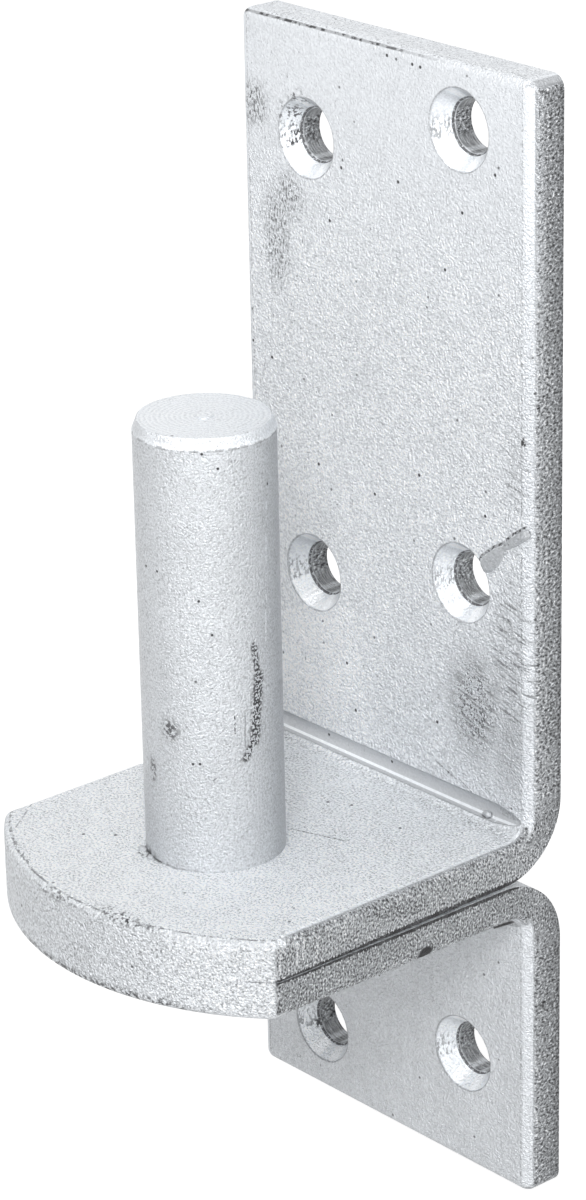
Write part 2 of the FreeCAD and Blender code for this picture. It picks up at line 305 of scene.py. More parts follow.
def plate_faces(here, facing, holes):
    """A mask for each kind of face on a folded plate."""
    _, y, z = parts(here)
    nx, _, nz = parts(facing)
    behind_nose = step(y, -13.5, -11.5)
    shelf_side = behind_nose * step(z, 3.0, 1.0) * step(z, -20.0, -16.0)
    shelf_side = shelf_side * step(abs(nx), 0.4, 0.65) * step(abs(nz), 0.3, 0.5)
    sheared = step(abs(nx), 0.8, 0.96) | shelf_side
    edge = step(abs(nx), 0.05, 0.35) * (1 - sheared) * behind_nose
    hole = hole_distance(here, holes)
    bore = step(hole, HOLE_RADIUS + 0.12, HOLE_RADIUS + 0.02)
    front = step(y, FACE + SINK_BOTTOM + 0.1, FACE + SINK_BOTTOM - 0.1)
    bore_rim = step(abs(hole - (HOLE_RADIUS + 0.22)), 0.17, 0.08)
    sink_rim = step(abs(hole - SINK_RADIUS), 0.2, 0.05)
    return SimpleNamespace(
        behind_nose=behind_nose,
        sheared=sheared,
        on_leg=step(z, 2.0, 7.0) | step(z, -14.0, -19.0),
        leg_roll=edge * step(abs(nz), 0.6, 0.25),
        shelf_roll=edge * step(abs(nz), 0.25, 0.6),
        nose=step(y, -12.0, -14.5) * step(abs(nz), 0.8, 0.4) * (1 - sheared),
        lying=step(abs(nz), 0.8, 0.95),
        bore=bore,
        sink=step(hole, SINK_RADIUS + 0.05, SINK_RADIUS - 0.1) * (1 - bore) * front,
        rim=(bore_rim * 0.9 | sink_rim * 0.35) * front)


print("screw holes, mm:", 2 * HOLE_RADIUS, "countersinks, mm:", 2 * SINK_RADIUS)

# %% [markdown]
# A zinc coat has grain of every size: a crinkle of a third of a millimetre, mottling, slow
# drifts of tone over centimetres. One noise with many octaves could try to be all of them, but
# then none could be turned up alone, so each has a noise of its own. Torn metal is stretched along
# the way the shear went, which differs between the leg and the shelf.

# %% Grains of the zinc
def plate_grains(here, on_leg):
    _, y, z = parts(here)
    shelf_torn = grain(stretched(here, (1.0, 1.1, 0.8)), 3.2, 1.0)
    leg_torn = grain(stretched(here, (1.0, 0.8, 1.1)), 2.5, 1.0)
    torn = blend(shelf_torn, leg_torn, on_leg)
    scraped = grain(stretched(here, (2.2, 1.0, 0.6)), 1.2, 3.0, 0.7)
    # Painted highlight: near the front of the leg's sheared side, more so higher up, the tone is
    # pulled towards the rolled edge's white.
    side_highlight_reach = on_leg * step(y, FACE + 3.2, FACE + 1.2) * (0.14 + 0.46 * step(z, 30.0, 95.0))
    return SimpleNamespace(
        crinkle=grain(here, 3.0),
        mottle=grain(here, 2.6, 0.0),
        pepper=step(grain(here, 3.4, 0.0), 0.4, 0.28),
        torn=torn,
        side_front_highlight=side_highlight_reach * (0.5 + torn),
        speckle=step(grain(here, 4.3, 0.0), 0.42, 0.3),
        patchy=step(grain(here, 0.3, 3.0, 0.6), 0.36, 0.62),
        turned=grain(stretched(here, (0.6, 3.5, 0.6)), 1.1),
        drift=grain(here, 0.06),
        cloud=grain(here, 0.25, 4.0, 0.7),
        dashes=step(grain(here, 0.5, 3.0, 0.7), 0.44, 0.58),
        scrapes=step(scraped, 0.64, 0.72),
        coarse=0.35 + 0.65 * step(z, 105.0, 70.0))


print("plate grains ready")

# %% [markdown]
# The folding tool left a pointed groove in the inner bend. Its form is cut into the solid. Here it
# only gets its own tone: zinc pooled in it smooth, it is painted grey as shade, and a painted
# highlight runs along its root. The groove is found again by measuring from its axis, which is
# exact and needs no painting.

# %% The tool's groove
TOOL_RADIUS, TOOL_INSET, TOOL_LIFT = 1.6, 31.8, 2.3
TOOL_FLAT, TOOL_SLOPE = 23.5, 0.08
ROOT_DIRECTION, ROOT_SHIFT = (0.866, 0.5), 0.25


def tool_mark(here, shelf, side):
    """The folding tool's groove, and the painted highlight along its root."""
    x, y, z = parts(here)
    out, up = y - TOOL_INSET, (z - (shelf + side * TOOL_LIFT)) * float(side)
    radius = TOOL_RADIUS - ((abs(x) - TOOL_FLAT) | 0.0) * TOOL_SLOPE
    groove = step(x.sum("SQRT", out * out + up * up) - radius, 0.07, 0.01)
    off_root = out * ROOT_DIRECTION[0] + up * ROOT_DIRECTION[1] - ROOT_SHIFT
    return groove, groove * step(abs(off_root), 0.26, 0.16)


print("groove, mm:", 2 * TOOL_RADIUS)

# %% [markdown]
# Tone is the zinc's lightness. It starts with the flat faces, and each other kind of face is laid
# over that through its mask, the way a painter works from the large areas to the small ones. The
# order matters only where masks overlap: the sheared sides come late because they cut off the rest.

# %% Tone of a plate
FACE_TONE, NOSE_TONE, ROLL_HIGHLIGHT_TONE, SIDE_TONE = 0.92, 0.78, 0.94, 0.48
SINK_TONE, BORE_TONE, SHELF_EDGE_TONE = 0.97, 0.36, 0.58
GROOVE_SHADE_TONE, ROOT_HIGHLIGHT_TONE = 0.6, 0.97


def flat_tone(z, face_tone, contrast, zinc, faces):
    """Rolled faces: mottled and peppered, calmer towards the top, speckled on the shelf, with
    painted light on the lying faces and painted shade towards the top.
    """
    contrast = contrast * zinc.coarse + 0.3 * faces.lying
    tone = face_tone * (1 + (zinc.mottle - 0.5) * contrast)
    tone = tone * (0.94 + 0.12 * zinc.drift) * (0.92 + 0.16 * zinc.cloud)
    # Painted light: the lying faces are 10 % lighter. Painted shade: 3 % darker towards the top.
    tone = tone * (1 + 0.1 * faces.lying) * (1 - 0.12 * zinc.pepper * zinc.coarse)
    tone = tone * (1 - 0.03 * step(z, 75.0, 95.0))
    return tone * (1 - 0.42 * zinc.speckle * faces.lying * (0.4 + 0.9 * zinc.patchy))


def side_tone(y, zinc):
    """Torn metal: dark with bright crests, with painted shade darker to the back and a painted
    highlight in front.
    """
    tone = SIDE_TONE * (1 + (zinc.torn - 0.5) * 3.1) + 0.34 * step(zinc.torn, 0.56, 0.68)
    tone = tone * (0.66 + 0.68 * zinc.cloud)
    # Painted shade: the sheared side is lighter near the front and darker to the back.
    tone = tone * (1.2 - 0.34 * step(y, 34.0, 38.5)) * (1 - 0.3 * step(y, 38.0, 39.0))
    return blend(tone, ROLL_HIGHLIGHT_TONE, zinc.side_front_highlight)


def plate_tone(here, facing, tones, zinc, faces, pressed, root):
    x, y, z = parts(here)
    nx, _, nz = parts(facing)
    # Painted highlight: the nose is lighter towards its right.
    nose_tone_and_highlight = (NOSE_TONE + 0.16 * step(x, 4.0, 28.0)) * (1 + (zinc.mottle - 0.5) * 0.8)
    # Painted shade: the top of each countersink, facing down, is darker.
    painted_sink_shade = 1 - 0.24 * step(nz, -0.4, -0.75)
    tone = flat_tone(z, *tones, zinc, faces)
    tone = blend(tone, nose_tone_and_highlight * (1 - 0.4 * zinc.pepper), faces.nose)
    # Painted highlight: the rolled edge of the leg is raised nearly to white.
    tone = blend(tone, ROLL_HIGHLIGHT_TONE, faces.leg_roll)
    tone = blend(tone, SHELF_EDGE_TONE, faces.shelf_roll)
    tone = blend(tone, SINK_TONE * (0.75 + 0.5 * zinc.crinkle) * painted_sink_shade, faces.sink)
    tone = blend(tone, BORE_TONE * (2.8 * zinc.turned - 0.4), faces.bore)
    # Painted shade: the groove is grey, and its root gets a painted highlight.
    tone = blend(tone, GROOVE_SHADE_TONE * (0.85 + 0.3 * zinc.crinkle), pressed)
    tone = blend(tone, ROOT_HIGHLIGHT_TONE, root)
    tone = blend(tone, side_tone(y, zinc), faces.sheared)
    # Painted highlight: a thin bright line along the shelf's rolled edge.
    shelf_edge_highlight = step(abs(abs(nx) - 0.3), 0.2, 0.05) * step(abs(nz), 0.5, 0.8)
    return tone + 0.35 * shelf_edge_highlight * faces.behind_nose


print("face tone:", FACE_TONE, "side tone:", SIDE_TONE)

# %% [markdown]
# Pits are where the coat failed or dirt settled: round the holes, between torn crests, along the
# seam between the shelves, and where the countersinking tool chattered. They could be one dark
# colour mixed in bit by bit, but kept as a single mask they also take away the metal's shine.

# %% Pits of a plate
SEAM_LEVEL, SEAM_SLOPE, NOSE_REACH = 6.0, 0.0076, 26.9
WORST_SINK = (-15.75, FACE, 93.8)
PLATE_RELIEF = 0.7 * MM


def plate_pits(here, facing, seam, zinc, faces):
    """The pits that both plates have."""
    x, y, z = parts(here)
    nx, ny, nz = parts(facing)
    upright = step(y, 28.0, 30.0)
    seam_gap = abs(z + SEAM_LEVEL + seam * (y + NOSE_REACH))
    seam_gap = seam_gap + (zinc.torn - 0.5) * 0.7 - 0.25 * step(y, -12.0, 16.0)
    chatter = faces.sink * step(nx, 0.25, 0.5) * step(nz, 0.42, 0.34) * step(nz, -0.4, 0.1)
    chatter = chatter * (0.6 + 0.4 * spot(here, WORST_SINK, (9.0, 9.0, 9.0), 0.8))
    ribs = step(grain(stretched(here, (1, 1, 0.4)), 3.0), 0.5, 0.58)
    roll_start = step(abs(abs(nx) - 0.07), 0.06, 0.02) * step(ny, -0.9, -0.98) * upright
    scraped = zinc.scrapes * step(ny, -0.8, -0.95) * upright
    return any_of([
        faces.rim * (0.55 + 0.45 * step(zinc.torn, 0.36, 0.5)),
        specks(here, 2.9, 0.3, 0.3) * 0.8,
        specks(here, 0.95, 0.24, 0.3) * (0.1 + 0.25 * faces.lying + 0.25 * faces.nose),
        step(seam_gap, 0.44, 0.3) * faces.sheared * (0.8 + 0.2 * zinc.dashes),
        step(zinc.torn, 0.42, 0.32) * faces.sheared * (0.62 - 0.45 * zinc.side_front_highlight),
        chatter * ribs * (0.7 + 0.3 * zinc.dashes),
        roll_start * step(zinc.torn, 0.4, 0.6) * 0.4,
        scraped * (0.3 + 0.4 * step(x, 2.0, -18.0))])


def plate_finish(name, tones, holes, groove, seam, marks):
    """Marks is a function that gives the plate's own pits and a multiplier of the tone, which holds
    both marks and painted light.
    """
    material, here, facing = start_finish(name)
    faces = plate_faces(here, facing, holes)
    zinc = plate_grains(here, faces.on_leg)
    pressed, root = tool_mark(here, *groove)
    tone = plate_tone(here, facing, tones, zinc, faces, pressed, root)
    own_pits, tone_marks_and_painted_light = marks(here, facing, faces.lying)
    pits = own_pits | plate_pits(here, facing, seam, zinc, faces)
    roughness = 0.42 + 0.16 * faces.sheared + 0.1 * (zinc.crinkle - 0.5)
    wrinkled = (1 - faces.sheared) * (1 - 0.7 * pressed) * (1 - 0.5 * faces.sink) * zinc.coarse
    relief = zinc.crinkle * wrinkled + zinc.torn * 2.6 * faces.sheared
    end_finish((tone * tone_marks_and_painted_light) | DARKEST, pits, roughness, relief, PLATE_RELIEF)
    return material


def dress(node, material):
    node.data.materials.clear()
    node.data.materials.append(material)


print("plate relief, mm:", PLATE_RELIEF / MM)

# %% [markdown]
# No two zinc coats are scuffed alike, so each plate has marks of its own. They could be scattered
# at random, but an object is known by its marks, so they are placed one by one, in millimetres on
# the part: pits and specks, a grey smear, scratches from handling. A mark of dirt is broken up by
# noise, or it would look drawn.

# %% Tools for placed marks
SIDE = 30.0
PATCH_DEPTH = 3.0


def face_patch(here, x, z, width, height, core=0.25):
    """A soft patch on the upright face."""
    return spot(here, (x, FACE, z), (width, PATCH_DEPTH, height), core)


def face_stroke(here, first, last, width):
    """A scratch on the upright face, from one x and z to another."""
    return stroke(here, (first[0], FACE, first[1]), (last[0], FACE, last[1]), width)


def breakers(here):
    """Three noises that break marks up: coarse, fine and long."""
    return SimpleNamespace(
        gravel=step(grain(here, 1.7, 3.0, 0.6), 0.5, 0.6),
        fine=step(grain(here, 2.6, 2.0, 0.6), 0.5, 0.62),
        dashes=step(grain(here, 0.5, 3.0, 0.7), 0.46, 0.56))


def hatching(x, z):
    """Fine scratches that run to the right and a little down: noise drawn out along them."""
    along, across = x * 0.972 - z * 0.234, x * 0.234 + z * 0.972
    drawn = x.node("CombineXYZ", {"X": along * 0.12, "Z": across})
    return step(grain(drawn, 2.2, 1.0), 0.52, 0.62)


print("placed marks reach", PATCH_DEPTH, "mm deep")

# %% [markdown]
# The upright face shows the most. It has pinholes, a grey smear under the upper left hole, nicks
# along the left edge, a scuff above the bend, and fine parallel scratches near the right edge
# where it was handled. Each mark is an area first, and noise laid through the area is the dirt, so
# that its outline never shows.

# %% Marks on the upper plate's face
UPPER_HOLES = [(15.75, 101.25), (-15.75, 93.8), (15.75, 35.1), (-15.75, 27.65)]
FACE_DOTS = [
    (1.5, 109.0), (6.6, 108.7), (8.2, 108.6), (-8.3, 91.0), (3.5, 91.4), (-10.9, 82.7),
    (12.9, 80.8), (16.4, 89.7), (22.9, 96.4), (-28.3, 60.7), (-24.1, 59.1), (28.2, 59.5),
    (20.8, 46.6), (-8.7, 15.3), (-6.9, 8.3), (10.7, 12.0), (0.7, 2.4), (-13.2, 2.3),
    (-14.2, 45.1), (-2.1, 43.7), (7.3, 49.1)]
RUN_EDGE = [
    (29.0, 47.2), (26.4, 45.4), (24.2, 43.4), (22.6, 42.5), (20.0, 40.4), (19.3, 39.0)]


def face_areas(here):
    """Where the upright face was smeared, scuffed or handled, and a patch of painted light."""
    nicked_edge = spot(here, (-29.5, 34.0, 60.0), (1.3, 3.0, 50.0))
    burr = spot(here, (-20.0, 34.5, 96.0), (3.0, 4.0, 4.0))
    return SimpleNamespace(
        smear=face_patch(here, -22.4, 77.5, 4.2, 12.0) | face_patch(here, -19.5, 84.5, 4.5, 5.5),
        nicks=face_patch(here, -26.8, 96.8, 4.2, 5.0) | nicked_edge * 0.6,
        burr=burr | spot(here, (-17.5, 34.0, 99.4), (3.0, 3.0, 2.0)),
        scuffed=face_patch(here, 18.5, 17.0, 7.5, 12.0)
        | face_patch(here, 25.5, 12.0, 4.5, 9.0) * 0.5,
        handled=face_patch(here, 26.5, 26.0, 5.5, 16.0, 0.5)
        + face_patch(here, 27.0, 55.0, 4.0, 9.0) * 0.7,
        # Painted light, not a mark: a patch low on the left, behind the pin.
        pale=face_patch(here, -16.0, 14.0, 16.0, 18.0, 0.3))


def face_pits(here, facing, areas, dirt):
    x, _, z = parts(here)
    _, ny, nz = parts(facing)
    drawn = step(grain(stretched(here, (1.5, 1.0, 0.7)), 2.2), 0.5, 0.62)
    scratched = hatching(x, z)
    top_crease = step(abs(nz + ny), 0.34, 0.1) * step(z, 108.0, 109.0) * step(x, 16.0, -2.0)
    run_edge = any_of(face_stroke(here, *ends, 0.3) for ends in zip(RUN_EDGE, RUN_EDGE[1:]))
    return any_of([
        any_of(spot(here, (at, FACE, up), (0.3, 0.6, 0.3), 0.6) for at, up in FACE_DOTS),
        top_crease * (0.45 + 0.55 * dirt.dashes),
        areas.smear * drawn * 0.75,
        areas.nicks * (drawn | dirt.gravel * 0.6) * 0.9,
        areas.burr * dirt.gravel * 0.9,
        areas.scuffed * (dirt.fine | scratched * 0.6) * 0.9,
        areas.handled * scratched * (0.3 + 0.36 * dirt.dashes),
        spot(here, (28.4, FACE, 59.3), (0.55, 0.9, 1.2), 0.5) * dirt.gravel,
        face_stroke(here, (10.4, 5.7), (14.6, 4.3), 0.2) * (0.35 + 0.65 * dirt.gravel),
        face_stroke(here, (15.2, 4.5), (17.8, 3.3), 0.16) * (0.3 + 0.5 * dirt.gravel),
        run_edge * (0.4 + 0.6 * dirt.gravel)])


print("upright face:", len(FACE_DOTS), "placed pits")

# %% [markdown]
# The shelf is scuffed along its nose and has a hairline crack in its coat. Under the edge of the
# pin, where the zinc couldn't close the gap, it gets a dark line of painted shade, darkest by the
# lumps on the left. The gap is found from the distance to the pin's axis. The sheared side has one
# scuff and one cut, placed as scratches.

# %% Marks on the upper plate's shelf and edges
PIN_RADIUS = 10.0
SHELF_DOTS = [(0.8, 20.6), (-15.2, -12.0), (-11.8, -8.9), (14.6, 22.2), (4.0, 22.4)]


def shelf_pits(here, facing, lying, dirt):
    x, y, _ = parts(here)
    nose_crease = step(abs(parts(facing)[2] - 0.93), 0.055, 0.02) * step(y, -12.5, -14.0)
    nose_scuff = any_of([
        spot(here, (9.5, -25.0, 0.0), (8.0, 2.2, 1.2)),
        spot(here, (15.0, -24.2, 0.0), (3.0, 1.6, 1.0)),
        spot(here, (-3.0, -26.3, -0.6), (9.0, 1.4, 1.2)) * 0.7])
    nose_scratch = stroke(here, (-20.8, -21.7, 0.0), (-29.8, -9.3, 0.0), 0.18)
    crack = stroke(here, (4.3, 10.8, 0.0), (12.5, 13.7, 0.0), 0.22)
    # Painted shade: a dark line in the gap under the edge of the pin.
    pin_gap = distance(here, (1, 1, 0), (0, 0, 0)) - PIN_RADIUS
    painted_shade_under_pin = step(abs(pin_gap), 0.4, 0.12) * lying * step(x, 8.0, -2.0)
    return any_of([
        any_of(spot(here, (at, out, 0.0), (0.3, 0.3, 0.3), 0.6) for at, out in SHELF_DOTS),
        nose_crease * (0.15 + 0.5 * dirt.dashes),
        nose_scuff * dirt.gravel,
        nose_scratch * dirt.dashes * 0.5,
        crack * (0.3 + 0.6 * dirt.gravel),
        painted_shade_under_pin * (0.2 + 0.6 * dirt.dashes),
        # Painted shade: the gap is darkest by the lumps on the left.
        spot(here, (-3.6, -9.9, 0.0), (3.6, 1.1, 1.0)) * dirt.gravel,
        spot(here, (21.6, 32.9, 0.9), (1.25, 0.9, 0.8), 0.6) * 0.8])


def side_pits(here, dirt):
    scuff = stroke(here, (SIDE, 2.0, -1.2), (SIDE, 11.0, -3.4), 1.3)
    cut = stroke(here, (SIDE, 35.8, 66.2), (SIDE, 33.9, 63.7), 0.4)
    return scuff * dirt.fine * 0.9 | cut * dirt.fine


print("shelf:", len(SHELF_DOTS), "placed pits")

# %% [markdown]
# Some changes are only of tone, and most of them are painted light: painted shade low on the
# right of the face towards the bend and on the shelf towards the fold, and painted light on the
# face low on the left behind the pin. The smear, the handled strip and the scuff darken the tone
# too. They could be pits of low strength, but pits would dull the metal, so they multiply the tone
# instead. Bright nicks on the side are added to it.

# %% Upper plate
SIDE_NICKS = [
    (-14.0, -1.2, -4.9), (-10.9, -1.2, -4.5), (-9.7, -1.3, -3.9), (-7.3, -2.5, -4.7),
    (-2.2, -1.1, -3.7)]


def upper_tone_and_painted_light(here, facing, lying, areas):
    """Painted shade and light, darkening by the smear, handling and scuff, and the bright nicks on
    the side.
    """
    x, y, z = parts(here)
    flat = step(abs(parts(facing)[0]), 0.3, 0.1)
    # Painted shade: the face is darker low on the right towards the bend, and the shelf towards the
    # fold.
    painted_shade_low_right = step(z, 44.0, 8.0) * step(x, -10.0, 24.0) * step(y, 28.0, 31.0) * flat
    painted_shade_to_fold = step(y, -6.0, 26.0) * lying
    tone_marks_and_painted_light = (1 - 0.14 * painted_shade_low_right) * (1 - 0.08 * painted_shade_to_fold) * (1 - 0.1 * areas.smear)
    # Painted light: the face is lighter low on the left, behind the pin.
    tone_marks_and_painted_light = tone_marks_and_painted_light * (1 - 0.09 * areas.handled * flat) * (1 + 0.09 * areas.pale)
    tone_marks_and_painted_light = tone_marks_and_painted_light * (1 - 0.03 * areas.scuffed)
    for out, high, low in SIDE_NICKS:
        tone_marks_and_painted_light = tone_marks_and_painted_light + stroke(here, (SIDE, out, high), (SIDE, out - 0.3, low), 0.24)
    return tone_marks_and_painted_light


def upper_marks(here, facing, lying):
    areas, dirt = face_areas(here), breakers(here)
    pits = face_pits(here, facing, areas, dirt) | shelf_pits(here, facing, lying, dirt)
    return pits | side_pits(here, dirt), upper_tone_and_painted_light(here, facing, lying, areas)


upper = plate_finish(
    "upper_plate_zinc", (FACE_TONE, 0.7), UPPER_HOLES, (0.0, 1), 0.0, upper_marks)
dress(plates["upper_plate"], upper)
print("upper plate:", len(upper.node_tree.nodes), "nodes")

# %% [markdown]
# The lower plate hung downwards in the bath, so its zinc drained along it and left faint upright
# runs. Its tone is set greyer than the upper one's as painted shade under the shelf. Dirt gathered
# at the foot of the nose. It takes the same finish as the upper plate, with calmer grain and a few
# marks of its own.

# %% Lower plate
LOWER_HOLES = [(15.75, -40.05), (-15.75, -47.5)]
# Painted shade: the lower plate's tone is set greyer than the upper one's, under the shelf.
LOWER_SHELF, LOWER_SHADED_TONE = -12.5, 0.77


def lower_marks(here, facing, _lying):
    x, y, z = parts(here)
    gravel = step(grain(here, 1.6, 3.0, 0.6), 0.47, 0.57)
    runs = grain(stretched(here, (1.0, 1.0, 0.12)), 0.6)
    foot = step(z, -9.9, -11.4) * step(y, -14.0, -18.0) * step(x, -26.0, -8.0) * step(x, 26.0, 14.0)
    broken = any_of([
        foot,
        spot(here, (-19.3, 35.0, -49.3), (1.6, 3.0, 1.2)),
        spot(here, (SIDE, 36.5, -27.4), (1.0, 2.6, 1.0)),
        spot(here, (SIDE, 37.0, -58.0), (1.6, 3.0, 1.0))])
    pits = any_of([
        broken * gravel,
        foot * step(z, -11.3, -11.9) * 0.6,
        spot(here, (SIDE, 12.8, -11.1), (1.5, 1.7, 1.3), 0.6),
        face_stroke(here, (22.5, -16.8), (27.0, -14.1), 0.3)])
    bottom = step(z, -56.6, -58.0)
    # Painted shade: the sheared sides are 12 % darker.
    sides = step(abs(parts(facing)[0]), 0.8, 0.96)
    return pits, (1 - 0.18 * bottom) * (0.94 + 0.12 * runs) * (1 - 0.12 * sides)


lower = plate_finish(
    "lower_plate_zinc", (LOWER_SHADED_TONE, 0.3), LOWER_HOLES, (LOWER_SHELF, -1), SEAM_SLOPE, lower_marks)
dress(plates["lower_plate"], lower)
print("lower plate:", len(lower.node_tree.nodes), "nodes")

# %% [markdown]
# The pin was turned from bar, so its coat is more even. Its top shows the lathe's rings round a
# small nub, the chamfer is almost white, and one flank has a row of deep pits where the zinc
# failed to take. The rings are a sine of the distance from the axis, which no noise could give.

# %% Tone of the pin
PIN_TONE, CHAMFER_TONE, TOP_TONE, PIN_METAL = 0.67, 0.86, 0.9, 0.64
CHAMFER_START, TOP_EDGE = 62.85, 9.35
RING_RATE, RING_TONE = 9.0, 0.06
PIN_RELIEF = 0.27 * MM


def pin_faces(here, facing):
    _, _, z = parts(here)
    top = step(parts(facing)[2], 0.85, 0.97) * step(z, 64.0, 64.3)
    radius = distance(here, (1, 1, 0), (0, 0, 0))
    return SimpleNamespace(
        top=top,
        chamfer=step(z, CHAMFER_START - 0.1, CHAMFER_START + 0.1) * (1 - top),
        top_edge=step(abs(radius - TOP_EDGE), 0.16, 0.05) * top,
        rings=radius.sum("SINE", radius * RING_RATE))


def pin_tone(here, facing, faces, crinkle, dashes):
    nx, ny, _ = parts(facing)
    pepper = step(grain(here, 3.4, 0.0), 0.4, 0.28)
    tone = PIN_TONE * (1 + (crinkle - 0.5) * 1.3) * (0.9 + 0.2 * grain(here, 0.09))
    tone = tone * (1 - 0.2 * pepper)
    # Painted shade: the pin is darker on its back and on its left flank.
    tone = tone * (1 - 0.2 * step(ny, 0.0, 0.6)) * (1 - 0.11 * step(nx, 0.0, -0.5))
    tone = tone + 0.25 * stroke(here, (9.7, 2.6, 54.1), (9.8, 1.8, 33.6), 0.2) * dashes
    turned = 1 + (crinkle - 0.5) * 0.9 + faces.rings * RING_TONE
    tone = blend(tone, TOP_TONE * turned, faces.top)
    # Painted shade: the chamfer is darker on its left.
    chamfer_tone = CHAMFER_TONE * turned * (1 - 0.16 * step(nx, 0.0, -0.4))
    return blend(tone, chamfer_tone, faces.chamfer)


print("chamfer from", CHAMFER_START, "mm up")

# %% [markdown]
# The streak of failed zinc on the pin's flank is three scratches of different width, broken up by
# fine noise so that bare steel shows in spots. The rest is small: pinholes, a blot, dashes along
# the chamfer's edge, and painted shade where the pin meets the shelf. All are placed in space,
# since the pin is never unwrapped.

# %% Pits of the pin
PIN_DOTS = [
    (9.5, 3.0, 56.3), (-1.4, -9.9, 44.7), (1.0, -9.9, 44.6), (6.7, -7.4, 41.1), (7.9, -6.2, 36.1),
    (8.7, -5.0, 60.3), (7.4, -6.7, 62.5), (5.5, -8.3, 16.6), (6.3, -7.7, 16.7)]


def pin_pits(here, faces, dashes):
    x, _, z = parts(here)
    gravel = step(grain(here, 1.7, 3.0, 0.6), 0.46, 0.54)
    fine = step(grain(here, 2.6, 1.0), 0.45, 0.52)
    streak = any_of([
        stroke(here, (10.0, -0.5, 33.5), (10.0, 0.2, 28.0), 0.8),
        stroke(here, (10.0, 0.2, 28.6), (10.0, -0.7, 19.4), 1.4),
        stroke(here, (10.0, -0.8, 19.6), (9.7, -2.2, 17.0), 0.9)])
    blot = spot(here, (2.4, -9.7, 21.2), (2.4, 1.5, 2.4))
    blot = blot | spot(here, (-1.4, -9.9, 14.0), (1.2, 1.2, 3.0))
    rim = step(abs(z - CHAMFER_START), 0.28, 0.08) | faces.top_edge
    # Painted shade: a dark line round the pin's foot, where it meets the shelf.
    foot = step(z, 0.4, 0.15) * step(x, 8.0, -2.0)
    return any_of([
        any_of(spot(here, centre, (0.25, 0.25, 0.25), 0.6) for centre in PIN_DOTS),
        streak * fine,
        blot * gravel * 0.85,
        rim * dashes * 0.4,
        foot * (0.2 + 0.6 * dashes),
        # Painted shade: the gap at the foot is darkest by the lumps on the left.
        spot(here, (-3.6, -9.3, 0.2), (3.6, 1.6, 1.3)) * gravel,
        stroke(here, (9.6, -2.7, 17.0), (7.6, -6.5, 14.2), 0.16) * 0.6,
        stroke(here, (9.8, -2.2, 24.2), (9.7, -2.3, 18.9), 0.13) * 0.5,
        stroke(here, (9.3, -3.7, 23.8), (9.3, -3.7, 21.1), 0.16) * gravel,
        specks(here, 2.9, 0.3, 0.3) * 0.8,
        specks(here, 0.95, 0.24, 0.3) * 0.3])


def pin_finish():
    material, here, facing = start_finish("pin_zinc")
    faces = pin_faces(here, facing)
    crinkle = grain(here, 3.3, 3.0, 0.6)
    dashes = step(grain(here, 0.6, 3.0, 0.7), 0.46, 0.56)
    tone = pin_tone(here, facing, faces, crinkle, dashes)
    roughness = 0.33 + 0.12 * (crinkle - 0.5)
    relief = crinkle * (1 - 0.6 * faces.top) + faces.rings * 0.02 * faces.top
    pits = pin_pits(here, faces, dashes)
    end_finish(tone | DARKEST, pits, roughness, relief, PIN_RELIEF, PIN_METAL)
    return material


dress(pin, pin_finish())
print("pin:", len(PIN_DOTS), "placed pits")

# %% [markdown]
# Molten zinc doesn't drain evenly. One run froze across the upper plate's edge and hangs over the
# rim of a screw hole, a nub sits in the folding tool's groove, small lumps froze under the pin,
# and along the nose the zinc closed the seam between the plates. They stand proud of the steel,
# so they are meshes of their own, with a swirled finish.

# %% Frozen zinc
def run_finish():
    material, here, _ = start_finish("frozen_zinc")
    swirl = grain(here, 2.4, 2.0, 0.6)
    tone = 0.56 * (0.6 + 0.8 * swirl)
    end_finish(tone, specks(here, 0.8, 0.22, 0.25) * 0.6, 0.42 + 0.1 * swirl, swirl, 0.3 * MM)
    return material


frozen = run_finish()


def piece(name, points, faces, finish=frozen):
    """A zinc piece from points in millimetres."""
    mesh = bpy.data.meshes.new(name)
    mesh.from_pydata([Vector(point) * MM for point in points], [], faces)
    for face in mesh.polygons:
        face.use_smooth = True
    made = bpy.data.objects.new(name, mesh)
    bpy.context.scene.collection.objects.link(made)
    mesh.materials.append(finish)
    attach(made, "root")
    print(name, len(faces), "faces")


def sheet_faces(rows, columns, first=0, turned=False):
    """Squares between the rows of a grid of points."""
    faces = []
    for row in range(rows - 1):
        for column in range(columns - 1):
            a = first + row * columns + column
            square = (a, a + 1, a + columns + 1, a + columns)
            faces.append(square[::-1] if turned else square)
    return faces


print("frozen zinc:", len(frozen.node_tree.nodes), "nodes")

# %% [markdown]
# The run is a closed skin between two outlines, an upper and a lower one, that swells between
# them. It follows the plate's rolled edge and dips over the hole's rim, so its back is tucked into
# the steel everywhere. A sculpted blob would do too, but here its outline is set point by point.

# %% The run beside the hole
EDGE_ROUND = 1.4
RIM_CENTRE = Vector((15.75, 35.1))
RIM_DIP = 0.35
RUN_TOP = [
    (29.2, 46.9), (27.7, 46.2), (26.5, 45.1), (25.2, 44.2), (24.3, 43.1), (22.7, 42.2),
    (21.4, 41.2), (20.1, 40.1), (19.6, 39.0)]
RUN_FOOT = [
    (29.6, 46.0), (29.1, 45.3), (27.7, 44.2), (26.5, 43.4), (25.1, 42.7), (24.5, 41.4),
    (23.5, 39.9), (22.0, 38.5), (20.6, 37.9)]
RUN_HEIGHTS = [0.3, 0.34, 0.3, 0.2, 0.14, 0.26, 0.3, 0.3, 0.26]
RUN_ROWS, RUN_COLUMNS = 49, 13


